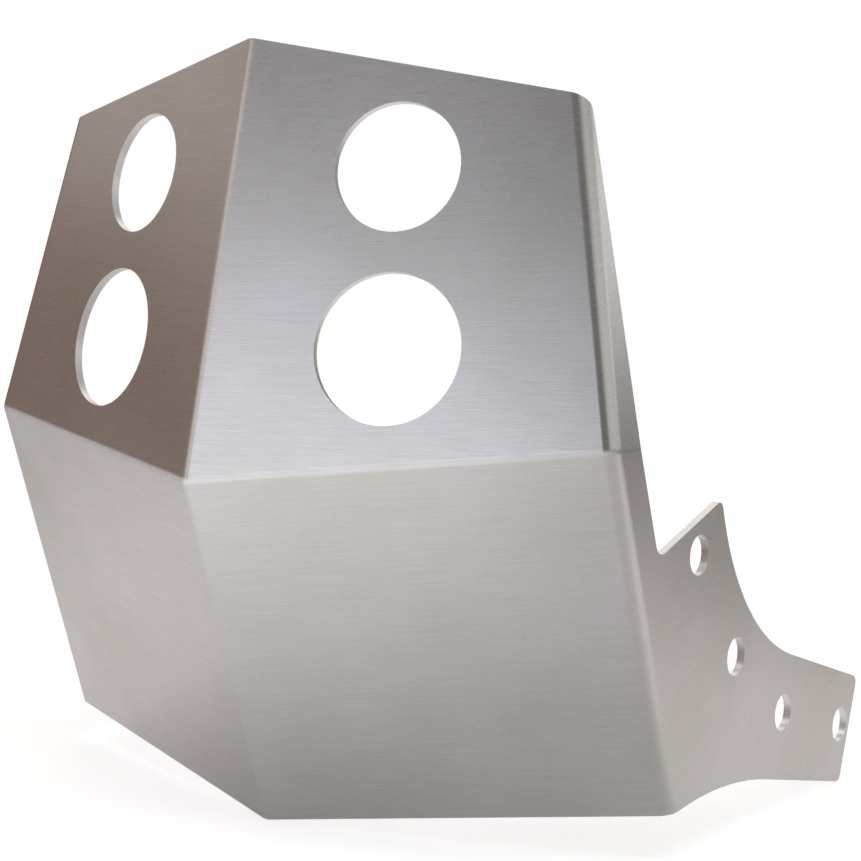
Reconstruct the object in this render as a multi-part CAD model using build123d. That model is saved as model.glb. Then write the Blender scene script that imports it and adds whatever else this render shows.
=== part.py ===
from build123d import *
import math
import os

os.makedirs("parts", exist_ok=True)

# Overall sizes, in millimetres
HALF_WIDTH = 120.0        # centre plane to the outer face of a side flange
PROW_DEPTH = 41.5         # how far the ridge stands ahead of the side folds
LOWER_HEIGHT = 115.0      # level crease line down to the bottom edge
RIDGE_BACK = 69.5         # how far the ridge leans back from the crease to the top
RIDGE_RISE = 112.7        # height of the ridge above the crease
SHEET = 2.5               # thickness of the sheet
BEND_RADIUS = 5.0         # outer radius of every fold
LEAN = 20.2               # turn that sets the bottom of the ridge and both tails on one level

# Top corner of a front panel: how far out from the centre plane, and its rise up the panel from the crease
CORNER_OUT = 99.0
CORNER_RISE = 86.8

# Vent holes: centres given as the top corner is, then diameters
UPPER_VENT = (49.4, 74.4)
UPPER_VENT_DIA = 38.0
LOWER_VENT = (53.8, 29.1)
LOWER_VENT_DIA = 44.0
VENT_CUT = 20.0           # depth of the cut that opens a vent, well over the sheet

# Side flange: positions are measured back and up from the point where crease and side fold meet
STRIP_WIDTH = 13.4        # width of the flange at the crease
STRIP_TOP_WIDTH = 4.7     # how far the slanted top edge runs on past the upper side fold
CREASE_DROP = 5.0         # fall of the crease across the flange
NOTCH_DOWN = 38.8         # depth of the notch under the crease
NOTCH_SLANT = 0.5         # slant of the notch's front edge over that depth
EAR_BACK = 55.2           # rear edge of the pointed ear
EAR_FALL = 0.4            # fall of the ear's upper edge towards its point
SWEEP_RADIUS = 77.5       # concave sweep from the ear to the tail
SWEEP_TURN = 54.0         # turn of that sweep, in degrees
SWEEP_START = 46.0        # where the sweep starts under the crease
TAIL_LENGTH = 58.0        # straight upper edge of the tail
TAIL_LOW = (110.5, 171.0)   # lower corner of the tail
TAIL_JOIN = (60.0, 139.3)   # where the lower edge turns from an arc to a straight line
LOWER_BOW = (28.0, 123.1)   # a point on that arc
BOLT_HOLE_DIA = 12.0
SWEEP_HOLES = ((1.7, 18.1), (28.1, 15.5), (54.2, 18.9))   # turn along the sweep, and distance in from its edge
TAIL_HOLE = (48.8, 17.6)  # distance along the tail's upper edge, and in from it

# Rounded corners of the flange outline
STRIP_CORNER = 3.0
NOTCH_FILLET = 4.0
EAR_CORNER = 2.5
TAIL_CORNER = 3.0

FAR = 400.0               # reaches past the plate on every side
CLEAR = 100.0             # how far the side view's outline stands clear of the prow

# Corner points of the right half, before the lean
tip = Vector(0, 0, 0)
side_mid = Vector(HALF_WIDTH, PROW_DEPTH, 0)
ridge_top = Vector(0, RIDGE_BACK, RIDGE_RISE)


def on_panel(out, rise):
    """A point of the right upper panel, from its distance out along the crease and its rise along the ridge."""
    return side_mid * (out / HALF_WIDTH) + ridge_top * (rise / RIDGE_RISE)


side_top = on_panel(CORNER_OUT, CORNER_RISE)
crease_out = Vector(HALF_WIDTH, PROW_DEPTH + STRIP_WIDTH, -CREASE_DROP)

# Outward directions of the four flat faces of the right half
upper_normal = side_mid.cross(ridge_top).normalized()
lower_normal = Vector(PROW_DEPTH, -HALF_WIDTH, 0).normalized()
strip_normal = (crease_out - side_mid).cross(side_top - side_mid).normalized()
flange_normal = Vector(1, 0, 0)


def mirrored(v):
    return Vector(-v.X, v.Y, v.Z)


def body(inset):
    """The solid behind all eight flat faces, each moved inwards by the inset."""
    solid = Box(2 * FAR, 2 * FAR, 2 * FAR)
    faces = ((tip, upper_normal), (tip, lower_normal), (side_mid, strip_normal), (side_mid, flange_normal))
    for point, normal in faces:
        for p, n in ((point, normal), (mirrored(point), mirrored(normal))):
            solid = split(solid, bisect_by=Plane(p - n * inset, z_dir=n), keep=Keep.BOTTOM)
    return solid


# The bent sheet: one core grown to the inner and to the outer bend radius
core = body(BEND_RADIUS)
outer = offset(core, BEND_RADIUS, kind=Kind.ARC)
inner = offset(core, BEND_RADIUS - SHEET, kind=Kind.ARC)
sheet = outer - inner


# Side view of the whole plate, cut straight across both halves
def at(back, down):
    return (PROW_DEPTH + back, -down)


top = Vector(ridge_top.Y, ridge_top.Z)
corner = Vector(side_top.Y, side_top.Z)
slope = (corner - top).normalized()
strip_top = corner + slope * STRIP_TOP_WIDTH
above = top - slope * CLEAR
turn = math.radians(SWEEP_TURN)


def sweep(angle, inset=0):
    """A point on the concave sweep, or set in from its edge."""
    reach = SWEEP_RADIUS + inset
    return at(EAR_BACK + SWEEP_RADIUS - reach * math.cos(angle), SWEEP_START + reach * math.sin(angle))


def tail(along, inset=0):
    """A point on the straight upper edge of the tail, or set in from it."""
    y, z = sweep(turn, inset)
    return (y + along * math.sin(turn), z - along * math.cos(turn))


sweep_end = sweep(turn)
tail_top = tail(TAIL_LENGTH)
strip_low = at(STRIP_WIDTH, CREASE_DROP)
notch = at(STRIP_WIDTH + NOTCH_SLANT, NOTCH_DOWN)
ear = at(EAR_BACK, NOTCH_DOWN + EAR_FALL)

with BuildSketch(Plane.YZ) as side_view:
    with BuildLine():
        Polyline(at(0, LOWER_HEIGHT), (-CLEAR, -LOWER_HEIGHT), (-CLEAR, above.Y), (above.X, above.Y),
                 (strip_top.X, strip_top.Y), strip_low, notch, ear, sweep(0))
        ThreePointArc(sweep(0), sweep(turn / 2), sweep_end)
        Polyline(sweep_end, tail_top, at(*TAIL_LOW), at(*TAIL_JOIN))
        ThreePointArc(at(*TAIL_JOIN), at(*LOWER_BOW), at(0, LOWER_HEIGHT))
    make_face()
    for place, radius in (((strip_top.X, strip_top.Y), STRIP_CORNER), (notch, NOTCH_FILLET), (ear, EAR_CORNER),
                          (tail_top, TAIL_CORNER), (at(*TAIL_LOW), TAIL_CORNER)):
        fillet(side_view.vertices().sort_by_distance((place[0], place[1], 0))[0], radius)

plate = sheet & extrude(side_view.sketch, FAR, both=True)

# Vent holes, square to the front panels
for place, dia in ((UPPER_VENT, UPPER_VENT_DIA), (LOWER_VENT, LOWER_VENT_DIA)):
    centre = on_panel(*place)
    for c, n in ((centre, upper_normal), (mirrored(centre), mirrored(upper_normal))):
        plate -= Plane(c, z_dir=n) * Cylinder(dia / 2, VENT_CUT)

# Bolt holes, straight across both flanges
hole_centres = [sweep(math.radians(angle), inset) for angle, inset in SWEEP_HOLES] + [tail(*TAIL_HOLE)]
for y, z in hole_centres:
    plate -= Pos(0, y, z) * Rot(0, 90, 0) * Cylinder(BOLT_HOLE_DIA / 2, 3 * HALF_WIDTH)

# Stand the plate as it is carried, centred over its own footprint
plate = Rot(LEAN, 0, 0) * plate
box = plate.bounding_box()
plate = Pos(0, -box.center().Y, -box.min.Z) * plate

solid = plate.solids().sort_by(SortBy.VOLUME)[-1]
export_step(solid, "parts/skid_plate.step")
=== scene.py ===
import math
import bmesh
import bpy
from mathutils import Matrix, Vector


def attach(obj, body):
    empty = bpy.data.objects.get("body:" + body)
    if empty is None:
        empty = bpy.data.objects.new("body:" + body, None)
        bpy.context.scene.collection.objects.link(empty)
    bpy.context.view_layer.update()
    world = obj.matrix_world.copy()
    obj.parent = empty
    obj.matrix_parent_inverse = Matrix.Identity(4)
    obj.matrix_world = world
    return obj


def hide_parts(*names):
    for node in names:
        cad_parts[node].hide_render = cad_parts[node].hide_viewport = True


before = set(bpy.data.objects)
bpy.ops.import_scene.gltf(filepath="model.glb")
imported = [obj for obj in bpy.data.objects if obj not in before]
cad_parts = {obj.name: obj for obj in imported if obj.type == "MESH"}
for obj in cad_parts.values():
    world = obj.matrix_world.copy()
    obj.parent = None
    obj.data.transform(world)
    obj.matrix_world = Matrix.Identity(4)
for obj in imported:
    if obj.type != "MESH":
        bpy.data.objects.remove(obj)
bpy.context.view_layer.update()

# Shape of the plate that its finish follows, in metres
LEAN = math.radians(20.2)          # turn of the plate from its upright prow
PROW_ORIGIN = Vector((0.0, -0.106801, 0.107826))   # tip of the prow in the shared frame
SKIN_COUNT = 2                     # the sheet has an outer and an inner skin
SKIN_SLOT = 0                      # places of the two materials on the mesh
CUT_SLOT = 1
EDGE_BREAK = 0.00028               # width of the softened edges
EDGE_SEGMENTS = 2
SHARP_ANGLE = math.radians(48)     # cut edges are sharper than this, folds are smoother
SMOOTH_ANGLE = math.radians(32)    # shading runs on over edges that are flatter than this
FLAT_ANGLE = math.radians(0.4)     # faces that are flatter to each other than this are joined
MERGE_GAP = 1e-6
PANEL_WEIGHT = 100                 # how far large flat faces lead the shading

# Grain map: its first axis runs across the grain, its second along it
GRAIN_UNITS = 10                   # map units in a metre
UPPER_SLANT = 0.08                 # the upper panels' grain falls away from the ridge
SIDEWAYS = 0.6                     # faces that look further to the side than this keep a level grain

# Brushed grain: stretch of the noise across and along the map, and its detail
STREAK = ((210, 3.0, 1), 4.0)
FINE = ((520, 9.0, 1), 2.0)
GRAIN_BREAKUP = 0.65
CLOUD_SCALE = 16.0
CLOUD_DETAIL = 3.0
CLOUD_BREAKUP = 0.55

# Brushed sheet: cloudy tint, darker and lighter lines, gloss, and relief of the grain
SHEET_TINT = ((0.36, (0.588, 0.580, 0.560)), (0.64, (0.640, 0.627, 0.640)))
SHEET_LINES = ((0.3, (0.93, 0.93, 0.93)), (0.7, (1.04, 1.04, 1.04)))
SHEET_ROUGHNESS = 0.22
FINE_ROUGHNESS = 0.14              # added by the fine grain
ANISOTROPY = 0.5
STREAK_RELIEF = 0.6                # shares of the two grains in the relief
FINE_RELIEF = 0.4
RELIEF_STRENGTH = 0.10
RELIEF_HEIGHT = 0.00006

# Cut faces and broken edges: rougher than the sheet, and paler as a painted edge highlight
CUT_TONE_AND_HIGHLIGHT = ((0.3, (0.90, 0.89, 0.88)), (0.7, (0.94, 0.93, 0.92)))
CUT_ROUGHNESS = 0.45

# Floor: reflections see a painted reflection glowing on it, its colour changing from half a metre in
# front to half a metre behind
FLOOR_SIZE = 30.0
FLOOR_LEVEL = -0.0005
FLOOR_COLOUR = (0.65, 0.65, 0.65, 1)
FLOOR_ROUGHNESS = 0.9
FLOOR_FRONT = 0.5
PAINTED_REFLECTION_STOPS = ((0.05, (0.93, 0.95, 0.98)), (0.22, (0.73, 0.735, 0.75)), (0.33, (0.40, 0.38, 0.37)),
               (0.76, (0.40, 0.37, 0.35)), (0.95, (0.09, 0.078, 0.070)))
# The long dim patch is a painted shadow in the floor's glow, seen only in reflections
PAINTED_SHADOW_CENTRE = (0.045, -0.055, 0.0)   # middle of the long dim patch along the lower panel
PAINTED_SHADOW_SQUASH = (0.55, 1.0, 1.0)

# Smooth steps on the floor: the two places between which a value changes, then its start and end
# The next four steps paint shade into the floor's glow for reflections: a painted contact shadow near
# the plate, painted shade far to the left and to the front right
NEAR_SHARE = (0.03, 0.11, 0.34, 1.0)      # share of the colour, by distance from the dim patch
LEFT_SHARE = (-0.45, -0.22, 0.61, 1.0)    # share of the colour, by X
RIGHT_SHADE = (0.05, 0.18, 0.0, 0.55)     # what is taken off it, by X
FRONT_SHADE = (-0.12, 0.02, 1.0, 0.0)     # where that is taken off, by Y
CAMERA_WHITE = (0.5, 1.5, 0.66, 0.92)     # white added for the camera, by distance from the dim patch

# Soft lights: bearing and height in degrees as seen from the plate, brightness and colour
# Bearing 0 is straight ahead of the plate and 90 is +X
PLATE_MIDDLE = Vector((0.0, -0.05, 0.12))
LIGHT_REACH = 1.6
SOFT_LIGHTS = (
    ("front_light", (-15, 10), (0.5, 21), 1.54, (0.865, 0.90, 1.0)),
    ("corner_light", (-46, -20), (2, 33), 0.70, (1.0, 0.95, 0.90)),
    ("left_light", (-92, -50), (15, 28), 0.40, (0.985, 0.985, 0.97)),
    ("right_light", (58, 126), (7, 34), 0.62, (1.0, 0.96, 0.92)),
    ("back_light", (128, 157), (12, 22), 1.25, (1.0, 0.98, 0.96)),
    ("backdrop_light", (-165, -120), (28, 56), 1.10, (1, 1, 1)),
    ("top_light", (-10, 70), (60, 88), 2.2, (1, 1, 1)),
)

# Room: dim and warm to the left in reflections, white where the camera looks straight at it
ROOM_LEFT = (0.190, 0.110, 0.074, 1)
ROOM_RIGHT = (0.135, 0.130, 0.128, 1)
ROOM_STEP = (-0.9, 0.2, 0.0, 1.0)
ROOM_GLOSS = 0.03                  # share of the white that reflections see
WHITE = (1, 1, 1, 1)

# Camera, at the viewing angle of the picture
CAMERA_PLACE = Vector((0.36817, -0.50943, 0.16264))
CAMERA_RIGHT = Vector((0.81821, 0.57444, 0.02358))
CAMERA_AHEAD = Vector((-0.57178, 0.81734, -0.07085))
FOCAL_SHARE = 1884.25 / 861.0      # focal length over image width
SENSOR = 36.0

NODE_STEP = 220                    # nodes stand in one row, this far apart


# Helpers for node trees
def new_material(name):
    material = bpy.data.materials.new(name)
    material.use_nodes = True
    return material, material.node_tree, material.node_tree.nodes["Principled BSDF"]


def add_node(tree, kind, **settings):
    made = tree.nodes.new(kind)
    made.location = (NODE_STEP * len(tree.nodes), 0)
    for key, value in settings.items():
        setattr(made, key, value)
    return made


def fill(node, **values):
    for key, value in values.items():
        node.inputs[key.replace("_", " ")].default_value = value
    return node


def maths(tree, operation, a, b):
    made = add_node(tree, "ShaderNodeMath", operation=operation)
    for socket, value in zip(made.inputs, (a, b)):
        if isinstance(value, (int, float)):
            socket.default_value = value
        else:
            tree.links.new(value, socket)
    return made.outputs[0]


def ramp(tree, factor, stops):
    made = add_node(tree, "ShaderNodeValToRGB")
    tree.links.new(factor, made.inputs["Fac"])
    elements = made.color_ramp.elements
    while len(elements) < len(stops):
        elements.new(0.5)
    for element, (position, colour) in zip(elements, stops):
        element.position = position
        element.color = (*colour, 1.0)
    return made.outputs["Color"]


def smooth_step(tree, value, step):
    low, high, start, end = step
    made = add_node(tree, "ShaderNodeMapRange", interpolation_type="SMOOTHSTEP")
    fill(made, From_Min=low, From_Max=high, To_Min=start, To_Max=end)
    tree.links.new(value, made.inputs["Value"])
    return made.outputs["Result"]


# Brushed grain: streaks and fine lines that follow the grain map, and broad cloudy patches
def brushed_grain_group():
    tree = bpy.data.node_groups.new("brushed_grain", "ShaderNodeTree")
    for name in ("Streak", "Fine", "Cloud"):
        tree.interface.new_socket(name, in_out="OUTPUT", socket_type="NodeSocketFloat")
    outputs = add_node(tree, "NodeGroupOutput")
    coords = add_node(tree, "ShaderNodeTexCoord")
    for name, (stretch, detail) in (("Streak", STREAK), ("Fine", FINE)):
        mapped = fill(add_node(tree, "ShaderNodeMapping"), Scale=stretch)
        tree.links.new(coords.outputs["UV"], mapped.inputs["Vector"])
        noise = add_node(tree, "ShaderNodeTexNoise")
        fill(noise, Scale=1.0, Detail=detail, Roughness=GRAIN_BREAKUP)
        tree.links.new(mapped.outputs["Vector"], noise.inputs["Vector"])
        tree.links.new(noise.outputs["Fac"], outputs.inputs[name])
    turned = add_node(tree, "ShaderNodeMapping", vector_type="TEXTURE")
    fill(turned, Location=PROW_ORIGIN, Rotation=(LEAN, 0, 0))
    tree.links.new(coords.outputs["Object"], turned.inputs["Vector"])
    cloud = add_node(tree, "ShaderNodeTexNoise")
    fill(cloud, Scale=CLOUD_SCALE, Detail=CLOUD_DETAIL, Roughness=CLOUD_BREAKUP)
    tree.links.new(turned.outputs["Vector"], cloud.inputs["Vector"])
    tree.links.new(cloud.outputs["Fac"], outputs.inputs["Cloud"])
    return tree


GRAIN = brushed_grain_group()


# Materials of the sheet's skins and of its cut faces
def brushed_sheet():
    material, tree, shader = new_material("brushed_sheet")
    grain = add_node(tree, "ShaderNodeGroup", node_tree=GRAIN)
    streak = grain.outputs["Streak"]
    fine = grain.outputs["Fine"]
    mixed = add_node(tree, "ShaderNodeMix", data_type="RGBA", blend_type="MULTIPLY")
    mixed.inputs["Factor"].default_value = 1.0
    tree.links.new(ramp(tree, grain.outputs["Cloud"], SHEET_TINT), mixed.inputs["A"])
    tree.links.new(ramp(tree, streak, SHEET_LINES), mixed.inputs["B"])
    tree.links.new(mixed.outputs["Result"], shader.inputs["Base Color"])
    rough = maths(tree, "ADD", maths(tree, "MULTIPLY", fine, FINE_ROUGHNESS), SHEET_ROUGHNESS)
    tree.links.new(rough, shader.inputs["Roughness"])
    streak_height = maths(tree, "MULTIPLY", streak, STREAK_RELIEF)
    fine_height = maths(tree, "MULTIPLY", fine, FINE_RELIEF)
    bump = fill(add_node(tree, "ShaderNodeBump"), Strength=RELIEF_STRENGTH, Distance=RELIEF_HEIGHT)
    tree.links.new(maths(tree, "ADD", streak_height, fine_height), bump.inputs["Height"])
    tree.links.new(bump.outputs["Normal"], shader.inputs["Normal"])
    along = add_node(tree, "ShaderNodeTangent", direction_type="UV_MAP", uv_map="grain")
    tree.links.new(along.outputs["Tangent"], shader.inputs["Tangent"])
    fill(shader, Metallic=1.0, Anisotropic=ANISOTROPY)
    return material


def cut_edge():
    material, tree, shader = new_material("cut_edge")
    grain = add_node(tree, "ShaderNodeGroup", node_tree=GRAIN)
    # the pale colour of the cut faces is a painted edge highlight
    tree.links.new(ramp(tree, grain.outputs["Cloud"], CUT_TONE_AND_HIGHLIGHT), shader.inputs["Base Color"])
    fill(shader, Metallic=1.0, Roughness=CUT_ROUGHNESS)
    return material


def sheet_skins(work):
    """Faces of both skins: all that join the largest ones without crossing a cut edge."""
    found = set()
    for _ in range(SKIN_COUNT):
        rest = [face for face in work.faces if face not in found]
        start = max(rest, key=lambda face: face.calc_area())
        waiting = [start]
        found.add(start)
        while waiting:
            face = waiting.pop()
            for edge in face.edges:
                if edge.is_manifold and edge.calc_face_angle() < SHARP_ANGLE:
                    beyond = [other for other in edge.link_faces if other not in found]
                    found.update(beyond)
                    waiting.extend(beyond)
    return found


# The plate: one folded sheet, with its cut edges broken and a grain map that runs level round the folds
def folded_plate():
    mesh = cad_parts["skid_plate"].data.copy()
    mesh.name = "folded_plate"
    mesh.materials.clear()
    mesh.materials.append(brushed_sheet())
    mesh.materials.append(cut_edge())
    work = bmesh.new()
    work.from_mesh(mesh)
    bmesh.ops.remove_doubles(work, verts=work.verts, dist=MERGE_GAP)
    bmesh.ops.dissolve_limit(work, angle_limit=FLAT_ANGLE, verts=work.verts, edges=work.edges)
    skins = sheet_skins(work)
    grain = work.loops.layers.uv.new("grain")
    upright = Matrix.Rotation(-LEAN, 4, "X") @ Matrix.Translation(-PROW_ORIGIN)
    for face in work.faces:
        face.smooth = True
        face.material_index = SKIN_SLOT if face in skins else CUT_SLOT
        middle = upright @ face.calc_center_median()
        side = 1.0 if middle.x >= 0 else -1.0
        slant = UPPER_SLANT if middle.z > 0 and abs(face.normal.x) < SIDEWAYS else 0.0
        for loop in face.loops:
            place = upright @ loop.vert.co
            across = place.z + slant * abs(place.x)
            loop[grain].uv = (across * GRAIN_UNITS, (place.x + side * place.y) * GRAIN_UNITS)
    work.to_mesh(mesh)
    work.free()
    mesh.set_sharp_from_angle(angle=SMOOTH_ANGLE)
    plate = bpy.data.objects.new("folded_plate", mesh)
    bpy.context.scene.collection.objects.link(plate)
    broken = plate.modifiers.new("broken_edges", "BEVEL")
    broken.width = EDGE_BREAK
    broken.segments = EDGE_SEGMENTS
    broken.limit_method = "ANGLE"
    broken.angle_limit = SHARP_ANGLE
    broken.material = CUT_SLOT
    broken.harden_normals = False
    flat = plate.modifiers.new("flat_panels", "WEIGHTED_NORMAL")
    flat.keep_sharp = True
    flat.weight = PANEL_WEIGHT
    return plate


plate = folded_plate()
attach(plate, "root")
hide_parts("skid_plate")


# Pale floor, white for the camera, that glows a painted reflection and painted shade for reflections
def painted_floor_reflection(tree, shader):
    """Reflections see a painted reflection on the floor, with painted shade near the object, far to the
    left and to the front right.
    """
    rays = add_node(tree, "ShaderNodeLightPath")
    coords = add_node(tree, "ShaderNodeTexCoord")
    split = add_node(tree, "ShaderNodeSeparateXYZ")
    tree.links.new(coords.outputs["Object"], split.inputs["Vector"])
    offset = add_node(tree, "ShaderNodeVectorMath", operation="SUBTRACT")
    offset.inputs[1].default_value = PAINTED_SHADOW_CENTRE
    tree.links.new(coords.outputs["Object"], offset.inputs[0])
    squashed = add_node(tree, "ShaderNodeVectorMath", operation="MULTIPLY")
    squashed.inputs[1].default_value = PAINTED_SHADOW_SQUASH
    tree.links.new(offset.outputs["Vector"], squashed.inputs[0])
    length = add_node(tree, "ShaderNodeVectorMath", operation="LENGTH")
    tree.links.new(squashed.outputs["Vector"], length.inputs[0])
    reach = length.outputs["Value"]
    # painted reflection: the floor's glow for reflections, bright in front and dark behind
    painted_reflection = ramp(tree, maths(tree, "ADD", split.outputs["Y"], FLOOR_FRONT), PAINTED_REFLECTION_STOPS)
    # painted shade in the glow: a painted contact shadow near the plate, darker far to the left and to
    # the front right
    near = smooth_step(tree, reach, NEAR_SHARE)
    left = smooth_step(tree, split.outputs["X"], LEFT_SHARE)
    right = smooth_step(tree, split.outputs["X"], RIGHT_SHADE)
    ahead = smooth_step(tree, split.outputs["Y"], FRONT_SHADE)
    open_share = maths(tree, "SUBTRACT", 1.0, maths(tree, "MULTIPLY", right, ahead))
    share = maths(tree, "MULTIPLY", open_share, maths(tree, "MULTIPLY", near, left))
    painted_shade_colour = add_node(tree, "ShaderNodeVectorMath", operation="SCALE")
    tree.links.new(painted_reflection, painted_shade_colour.inputs[0])
    tree.links.new(share, painted_shade_colour.inputs["Scale"])
    seen = add_node(tree, "ShaderNodeMix", data_type="RGBA")
    tree.links.new(rays.outputs["Is Camera Ray"], seen.inputs["Factor"])
    tree.links.new(painted_shade_colour.outputs["Vector"], seen.inputs["A"])
    tree.links.new(smooth_step(tree, reach, CAMERA_WHITE), seen.inputs["B"])
    tree.links.new(seen.outputs["Result"], shader.inputs["Emission Color"])
    mirrored = maths(tree, "MAXIMUM", rays.outputs["Is Glossy Ray"], rays.outputs["Is Transmission Ray"])
    straight = maths(tree, "MAXIMUM", rays.outputs["Is Camera Ray"], mirrored)
    tree.links.new(straight, shader.inputs["Emission Strength"])


def white_floor():
    mesh = bpy.data.meshes.new("floor")
    work = bmesh.new()
    bmesh.ops.create_grid(work, x_segments=1, y_segments=1, size=FLOOR_SIZE / 2)
    work.to_mesh(mesh)
    work.free()
    card = bpy.data.objects.new("floor", mesh)
    card.location = (0, 0, FLOOR_LEVEL)
    bpy.context.scene.collection.objects.link(card)
    material, tree, shader = new_material("floor")
    fill(shader, Base_Color=FLOOR_COLOUR, Roughness=FLOOR_ROUGHNESS, Specular_IOR_Level=0.0)
    painted_floor_reflection(tree, shader)
    mesh.materials.append(material)


white_floor()


# Soft light
def soft_light(name, bearing, height, brightness, colour):
    data = bpy.data.lights.new(name, "AREA")
    data.shape = "RECTANGLE"
    data.size = 2 * LIGHT_REACH * math.tan(math.radians((bearing[1] - bearing[0]) / 2))
    data.size_y = 2 * LIGHT_REACH * math.tan(math.radians((height[1] - height[0]) / 2))
    data.energy = math.pi * data.size * data.size_y * brightness
    data.color = colour
    turn = math.radians(sum(bearing) / 2)
    lift = math.radians(sum(height) / 2)
    away = Vector((math.sin(turn) * math.cos(lift), -math.cos(turn) * math.cos(lift), math.sin(lift)))
    lamp = bpy.data.objects.new(name, data)
    lamp.location = PLATE_MIDDLE + away * LIGHT_REACH
    lamp.rotation_euler = (-away).to_track_quat("-Z", "Y").to_euler()
    bpy.context.scene.collection.objects.link(lamp)


for light in SOFT_LIGHTS:
    soft_light(*light)


# Room and background
def studio_world():
    world = bpy.data.worlds.new("studio")
    bpy.context.scene.world = world
    world.use_nodes = True
    tree = world.node_tree
    coords = add_node(tree, "ShaderNodeTexCoord")
    split = add_node(tree, "ShaderNodeSeparateXYZ")
    tree.links.new(coords.outputs["Generated"], split.inputs["Vector"])
    room = add_node(tree, "ShaderNodeMix", data_type="RGBA")
    room.inputs["A"].default_value = ROOM_LEFT
    room.inputs["B"].default_value = ROOM_RIGHT
    tree.links.new(smooth_step(tree, split.outputs["X"], ROOM_STEP), room.inputs["Factor"])
    rays = add_node(tree, "ShaderNodeLightPath")
    straight = maths(tree, "MAXIMUM", rays.outputs["Is Camera Ray"], rays.outputs["Is Transmission Ray"])
    gloss = maths(tree, "MULTIPLY", rays.outputs["Is Glossy Ray"], ROOM_GLOSS)
    seen = add_node(tree, "ShaderNodeMix", data_type="RGBA")
    seen.inputs["B"].default_value = WHITE
    tree.links.new(maths(tree, "MAXIMUM", straight, gloss), seen.inputs["Factor"])
    tree.links.new(room.outputs["Result"], seen.inputs["A"])
    tree.links.new(seen.outputs["Result"], tree.nodes["Background"].inputs["Color"])


studio_world()


# Camera and its plain colours
def picture_camera():
    data = bpy.data.cameras.new("camera")
    data.sensor_width = SENSOR
    data.lens = FOCAL_SHARE * SENSOR
    camera = bpy.data.objects.new("camera", data)
    up = CAMERA_RIGHT.cross(CAMERA_AHEAD).normalized()
    turn = Matrix((CAMERA_RIGHT, up, -CAMERA_AHEAD)).transposed().to_4x4()
    camera.matrix_world = Matrix.Translation(CAMERA_PLACE) @ turn
    bpy.context.scene.collection.objects.link(camera)
    bpy.context.scene.camera = camera


picture_camera()
bpy.context.scene.view_settings.view_transform = "Standard"
